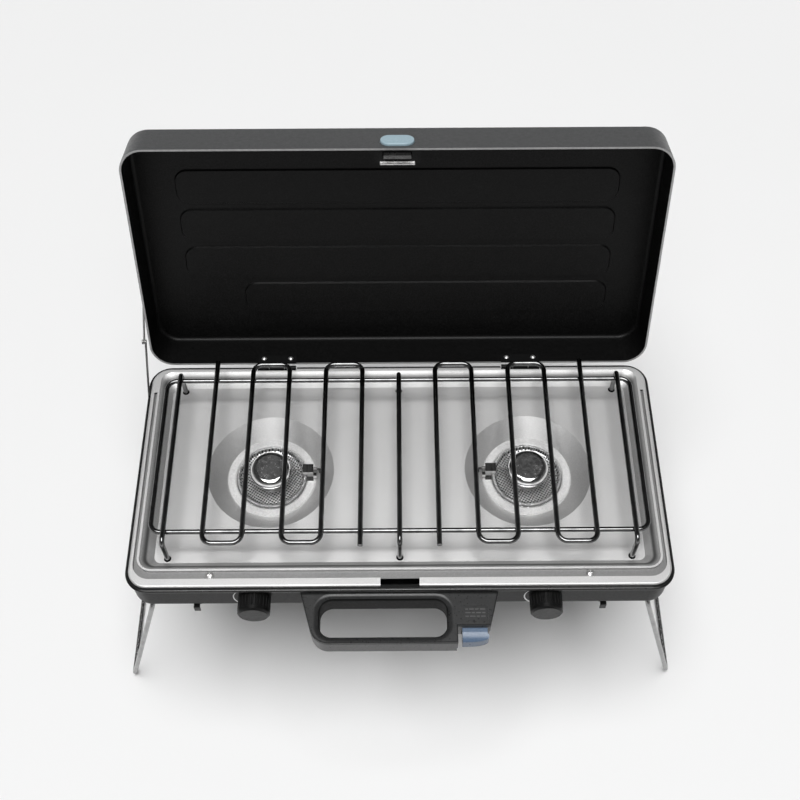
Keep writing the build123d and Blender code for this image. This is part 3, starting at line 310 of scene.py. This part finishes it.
def polished_cap(side):
    """Pressed cap: a satin disc inside a mirror bright round edge, with faint polishing swirls; the disc's
    darker colour is a painted dark reflection.
    """
    s = Shader(f"polished_cap_{side}", metallic=1.0, roughness=0.09)
    swirl = s.noise(260, 5.0, 0.65)
    disc = s.spread(s.radius(BURNERS[side]), 13.8 * MM, 14.6 * MM, 1.0, 0.0)
    # painted reflection: the flat disc's colour is darkened to stand for the dark ceiling it reflects; its
    # extra roughness below is the satin finish
    tone = s.ramp(disc, 0.0, 1.0, grey(1.0), grey(0.62))
    s.color(s.times(s.ramp(swirl, 0.3, 0.7, grey(0.50), grey(0.66)), tone))
    satin = s.math("MULTIPLY", disc, 0.14)
    s.rough(s.math("ADD", s.spread(swirl, 0.3, 0.75, 0.05, 0.17), satin))
    s.bump(s.noise(1400, 2.0), 0.00002, 0.4)
    return s.material


def brass():
    """Turned brass, a little uneven in tone and polish."""
    s = Shader("brass", metallic=1.0, roughness=0.28)
    s.color(s.ramp(s.noise(140, 4.0), 0.3, 0.7, (0.55, 0.38, 0.14), (0.72, 0.54, 0.25)))
    s.rough(s.spread(s.noise(500), 0.3, 0.7, 0.2, 0.4))
    s.bump(s.noise(900, 2.0), 0.00003, 0.4)
    return s.material


# ---- plastics and the rest -------------------------------------------------------------------
def plastic(name, low, high, rough_low, rough_high, grain=1100, depth=0.00008, **sockets):
    """Moulded plastic with spark-eroded grain."""
    s = Shader(name, roughness=rough_low, **sockets)
    s.color(s.ramp(s.noise(grain * 0.4, 3.0), 0.3, 0.7, low, high))
    s.rough(s.spread(s.noise(grain * 0.25), 0.3, 0.7, rough_low, rough_high))
    s.bump(s.noise(grain, 2.0), depth, 0.5)
    return s.material


def floor_paint():
    """Matt near-white floor."""
    s = Shader("studio_floor", roughness=0.9, Specular_IOR_Level=0.1)
    s.color(s.ramp(s.noise(3, 2.0), 0.2, 0.8, grey(0.835), grey(0.845)))
    s.bump(s.noise(60, 2.0), 0.0001, 0.1)
    return s.material


def paint(node, *materials):
    """Give a CAD node its materials, the first one on every face."""
    slots = NODES[node].data.materials
    slots.clear()
    for material in materials:
        slots.append(material)


def lid_coordinates(point):
    """A point of the open lid as it lies when the lid is closed."""
    turn = Matrix.Rotation(LID_OPEN, 3, "X")
    return LID_HINGE + turn @ (Vector(point) - LID_HINGE)


def paint_bead():
    """The case's rolled edge is black: the faces near the rim that stand out past the walls."""
    shell = NODES["base_shell"].data
    paint("base_shell", dark_enamel(), plastic("bead_black", grey(0.004), grey(0.008), 0.25, 0.35))
    past = 0.3 * MM
    lowest = RIM_Z - 8 * MM
    side = CASE_CORNER.x + past
    front = CASE_CORNER.y + past
    for face in shell.polygons:
        place = face.center
        outside = abs(place.x) > side or abs(place.y) > front
        face.material_index = 1 if outside and place.z > lowest else 0


def paint_top_shade(node, other, top):
    """Faces that look up get their own material: painted shade, a darker copy on the top."""
    paint(node, other, top)
    for face in NODES[node].data.polygons:
        face.material_index = 1 if face.normal.z > 0.85 else 0


def paint_handle():
    """Satin grey handle whose finger opening has walls painted black: painted shade inside the opening."""
    grained = plastic("handle_grey", grey(0.019, -0.01), grey(0.031, -0.01), 0.26, 0.34, 1400, 0.00003,
                      Specular_IOR_Level=0.38)
    black = plastic("opening_painted_shade", grey(0.002), grey(0.004), 0.5, 0.6, Specular_IOR_Level=0.1)
    for node in ("handle_upper", "handle_lower"):
        paint(node, grained, black)
        for face in NODES[node].data.polygons:
            across = face.center - OPENING
            near = abs(across.x) < OPENING_HALF.x and abs(across.y) < OPENING_HALF.y
            inward = face.normal.x * across.x + face.normal.y * across.y < 0
            # painted shade: inward walls of the opening get near black, where shade falls in it
            face.material_index = 1 if near and inward and face.normal.z < 0.5 else 0


def paint_trigger():
    """Blue paddle; the lower part of its front is a darker blue, painted shade on the faces that don't look
    up.
    """
    blue = plastic("trigger_blue", (0.085, 0.13, 0.20), (0.105, 0.155, 0.24), 0.26, 0.36)
    shaded_blue = plastic("trigger_blue_painted_shade", (0.05, 0.08, 0.13), (0.065, 0.10, 0.16), 0.26, 0.36)
    paint("igniter_trigger", blue, shaded_blue)
    # painted shade: faces that don't look up get the darker blue
    for face in NODES["igniter_trigger"].data.polygons:
        face.material_index = 1 if face.normal.z < 0.3 else 0


def paint_lid():
    """Outside, inside and rim of the lid differ: a face looking at the lid's middle is inside, and the
    downward rim faces get a light grey painted highlight.
    """
    lid = NODES["lid_shell"].data
    # painted highlight: the lid's rim faces get a light grey for the bright line the light makes along the
    # rim
    rim_highlight = plastic("rim_painted_highlight", grey(0.26), grey(0.34), 0.3, 0.4)
    paint("lid_shell", lid_outside(), lid_inside(), rim_highlight)
    turn = Matrix.Rotation(LID_OPEN, 3, "X")
    corners = [lid_coordinates(v.co) for v in lid.vertices]
    low_z = min(c.z for c in corners)
    high_z = max(c.z for c in corners)
    centre_y = (min(c.y for c in corners) + max(c.y for c in corners)) / 2
    heart = Vector((0, centre_y, (low_z + high_z) / 2))
    for face in lid.polygons:
        place = lid_coordinates(face.center)
        facing = turn @ face.normal
        outward = place - heart
        outward.z *= 4
        flat_top = facing.z < -0.3 and place.z > high_z - PRESSED
        walls = abs(facing.z) < 0.8 and facing.xy.dot(outward.xy) < 0
        face.material_index = 1 if flat_top or walls else 0
        # rim faces: painted highlight
        if facing.z < -0.8 and place.z < low_z + HEM:
            face.material_index = 2


# ---- printed marks on the front panel --------------------------------------------------------
def mesh_piece(name, maker, material, body):
    """New mesh object built by maker(bm), on a body."""
    mesh = bpy.data.meshes.new(name)
    bm = bmesh.new()
    maker(bm)
    bm.to_mesh(mesh)
    bm.free()
    piece = bpy.data.objects.new(name, mesh)
    bpy.context.scene.collection.objects.link(piece)
    mesh.materials.append(material)
    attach(piece, body)
    return piece


def flame_arc(side, material):
    """Printed arc beside a knob that swells from small flame to large."""
    centre = KNOBS[side]
    radius = 20.5 * MM
    start, sweep = 125, 110  # degrees from the right, anticlockwise
    thin, swell = 0.25 * MM, 0.75 * MM
    y = PANEL_Y - PRINT_LIFT

    def maker(bm):
        steps = 24
        rows = []
        for i in range(steps + 1):
            t = i / steps
            angle = math.radians(start + sweep * t)
            half = thin + swell * t
            rows.append([bm.verts.new((centre.x + math.cos(angle) * r, y, centre.z + math.sin(angle) * r))
                         for r in (radius - half, radius + half)])
        for a, b in zip(rows, rows[1:]):
            bm.faces.new((a[0], a[1], b[1], b[0]))
    return mesh_piece(f"flame_arc_{side}", maker, material, "base")


def label_marks(material):
    """Rows of plain bars printed in the sunk label field on the handle's block."""
    left, top = 62.0, -146.6
    spacing, tall, gap = 3.6, 1.1, 1.2
    rows = ((2.6, 4.4, 3.4, 5.2), (5.0, 3.0, 4.6, 3.0), (3.2, 5.2, 3.0, 4.2))

    def maker(bm):
        for row, widths in enumerate(rows):
            x = left
            y = top - row * spacing
            for width in widths:
                corners = ((x, y), (x + width, y), (x + width, y + tall), (x, y + tall))
                bm.faces.new([bm.verts.new((a * MM, b * MM, LABEL_Z + PRINT_LIFT)) for a, b in corners])
                x += width + gap
    return mesh_piece("label_marks", maker, material, "base")


# ---- studio ----------------------------------------------------------------------------------
def studio_floor():
    """Wide plane at ground level."""
    size = 9.0
    bpy.ops.mesh.primitive_plane_add(size=size, location=(0, 0.5, 0))
    floor = bpy.context.object
    floor.name = "studio_floor"
    floor.data.materials.append(floor_paint())


def sun(name, towards, strength, softness):
    """Even light that comes from a direction, with a wide disc for soft shadows."""
    data = bpy.data.lights.new(name, "SUN")
    data.energy = strength
    data.angle = math.radians(softness)
    lamp = bpy.data.objects.new(name, data)
    lamp.rotation_euler = Vector(towards).to_track_quat("Z", "Y").to_euler()
    bpy.context.scene.collection.objects.link(lamp)


def softbox(name, place, target, width, height, power):
    """Rectangular lamp that faces a target."""
    data = bpy.data.lights.new(name, "AREA")
    data.shape = "RECTANGLE"
    data.size = width
    data.size_y = height
    data.energy = power
    lamp = bpy.data.objects.new(name, data)
    lamp.location = place
    lamp.rotation_euler = (Vector(place) - Vector(target)).to_track_quat("Z", "Y").to_euler()
    bpy.context.scene.collection.objects.link(lamp)


def studio_world(ceiling, horizon):
    """Pale cove all round that darkens towards a black ceiling."""
    world = bpy.data.worlds.new("studio")
    bpy.context.scene.world = world
    world.use_nodes = True
    tree = world.node_tree
    direction = tree.nodes.new("ShaderNodeTexCoord").outputs["Generated"]
    parts = tree.nodes.new("ShaderNodeSeparateXYZ")
    tree.links.new(direction, parts.inputs[0])
    height = tree.nodes.new("ShaderNodeMapRange")
    height.interpolation_type = "SMOOTHSTEP"
    tree.links.new(parts.outputs["Z"], height.inputs["Value"])
    for socket, value in (("From Min", 0.15), ("From Max", 0.62), ("To Min", horizon), ("To Max", ceiling)):
        height.inputs[socket].default_value = value
    back = tree.nodes["Background"]
    back.inputs["Color"].default_value = (1, 1, 1, 1)
    tree.links.new(height.outputs["Result"], back.inputs["Strength"])


def camera():
    """Looks down at the stove from in front of it, from almost over its middle line."""
    pitch = math.radians(57.43)
    yaw = math.radians(0.14)
    roll = math.radians(-0.24)
    forward = Vector((math.sin(yaw) * math.cos(pitch), math.cos(yaw) * math.cos(pitch), -math.sin(pitch)))
    right = Vector((math.cos(yaw), -math.sin(yaw), 0))
    up = right.cross(forward)
    turned_right = math.cos(roll) * right + math.sin(roll) * up
    turned_up = math.cos(roll) * up - math.sin(roll) * right
    data = bpy.data.cameras.new("camera")
    data.sensor_width = 36
    data.lens = 52.13
    eye = bpy.data.objects.new("camera", data)
    axes = Matrix((turned_right, turned_up, -forward)).transposed()
    eye.matrix_world = Matrix.Translation((-0.0004, -0.5728, RIM_Z + 1.0291)) @ axes.to_4x4()
    bpy.context.scene.collection.objects.link(eye)
    bpy.context.scene.camera = eye


# ---- put it together -------------------------------------------------------------------------
def dress():
    """Materials of every CAD node."""
    paint_lid()
    paint_bead()
    bracket_side = collar_steel()
    # painted shade: the bracket's upward faces get a much darker steel than its sides
    bracket_top_shade = zinc("bracket_top_shade", 0.03, 0.06)
    looks = [
        (silver_paint(), ["hob_plate"]),
        (dark_enamel(), both("hinge_base", "hinge_lid")),
        (lid_inside(), ["latch_housing"]),
        (zinc("hook_steel", 0.10, 0.16), ["latch_hook"]),
        (dark_chrome(), ["grate_frame", "grate_bar_centre"] + both("grate_bar", "grate_serpentine")),
        (leg_chrome(), both("leg")),
        (zinc("zinc_plate", 0.3, 0.45),
         ["handle_screws", "latch_spring", "leg_brackets", "leg_rivets"]
         + both("burner_support", "valve_stem")),
        (zinc("stay_steel", 0.14, 0.24), ["stay_lower", "stay_upper", "stay_stud"]),
        (zinc("bright_steel", 0.6, 0.8), ["hob_screws", "hinge_pins", "hinge_rivets", "latch_striker"]),
        (bracket_side, both("burner_collar")),
        (burner_head(), both("burner_tube")),
        (brass(), ["gas_inlet"] + both("valve", "jet")),
        (zinc("drawn_tube", 0.55, 0.7), ["gas_manifold"]),
        (plastic("knob_black", grey(0.003), grey(0.007), 0.3, 0.42, Specular_IOR_Level=0.22),
         both("knob") + ["leg_clips"]),
        (plastic("button_blue", (0.3, 0.42, 0.48), (0.35, 0.47, 0.53), 0.3, 0.4), ["latch_button"]),
        (plastic("igniter_black", grey(0.015), grey(0.025), 0.4, 0.5), ["piezo_igniter"]),
        (plastic("lead_rubber", grey(0.02), grey(0.03), 0.55, 0.7), ["ignition_leads"]),
        (plastic("ceramic", grey(0.10, 0.02), grey(0.16, 0.02), 0.2, 0.3), both("electrode")),
    ]
    for material, names in looks:
        for name in names:
            paint(name, material)
    for side in SIDES:
        paint(f"burner_cup_{side}", perforated(side))
        paint(f"burner_cap_{side}", polished_cap(side))
        paint_top_shade(f"electrode_bracket_{side}", bracket_side, bracket_top_shade)
    paint_handle()
    paint_trigger()


dress()
printed = plastic("printed_white", grey(0.6), grey(0.7), 0.5, 0.6)
for side in SIDES:
    flame_arc(side, printed)
label_marks(plastic("printed_grey", grey(0.07), grey(0.09), 0.5, 0.6))

studio_floor()
studio_world(0.05, 0.42)
sun("overhead", (-0.05, -0.10, 1.0), 2.75, 40)
softbox("front_box", (0, -1.35, 2.7), (0, 0, RIM_Z), 1.6, 1.0, 13)
camera()

view = bpy.context.scene.view_settings
view.view_transform = "Standard"
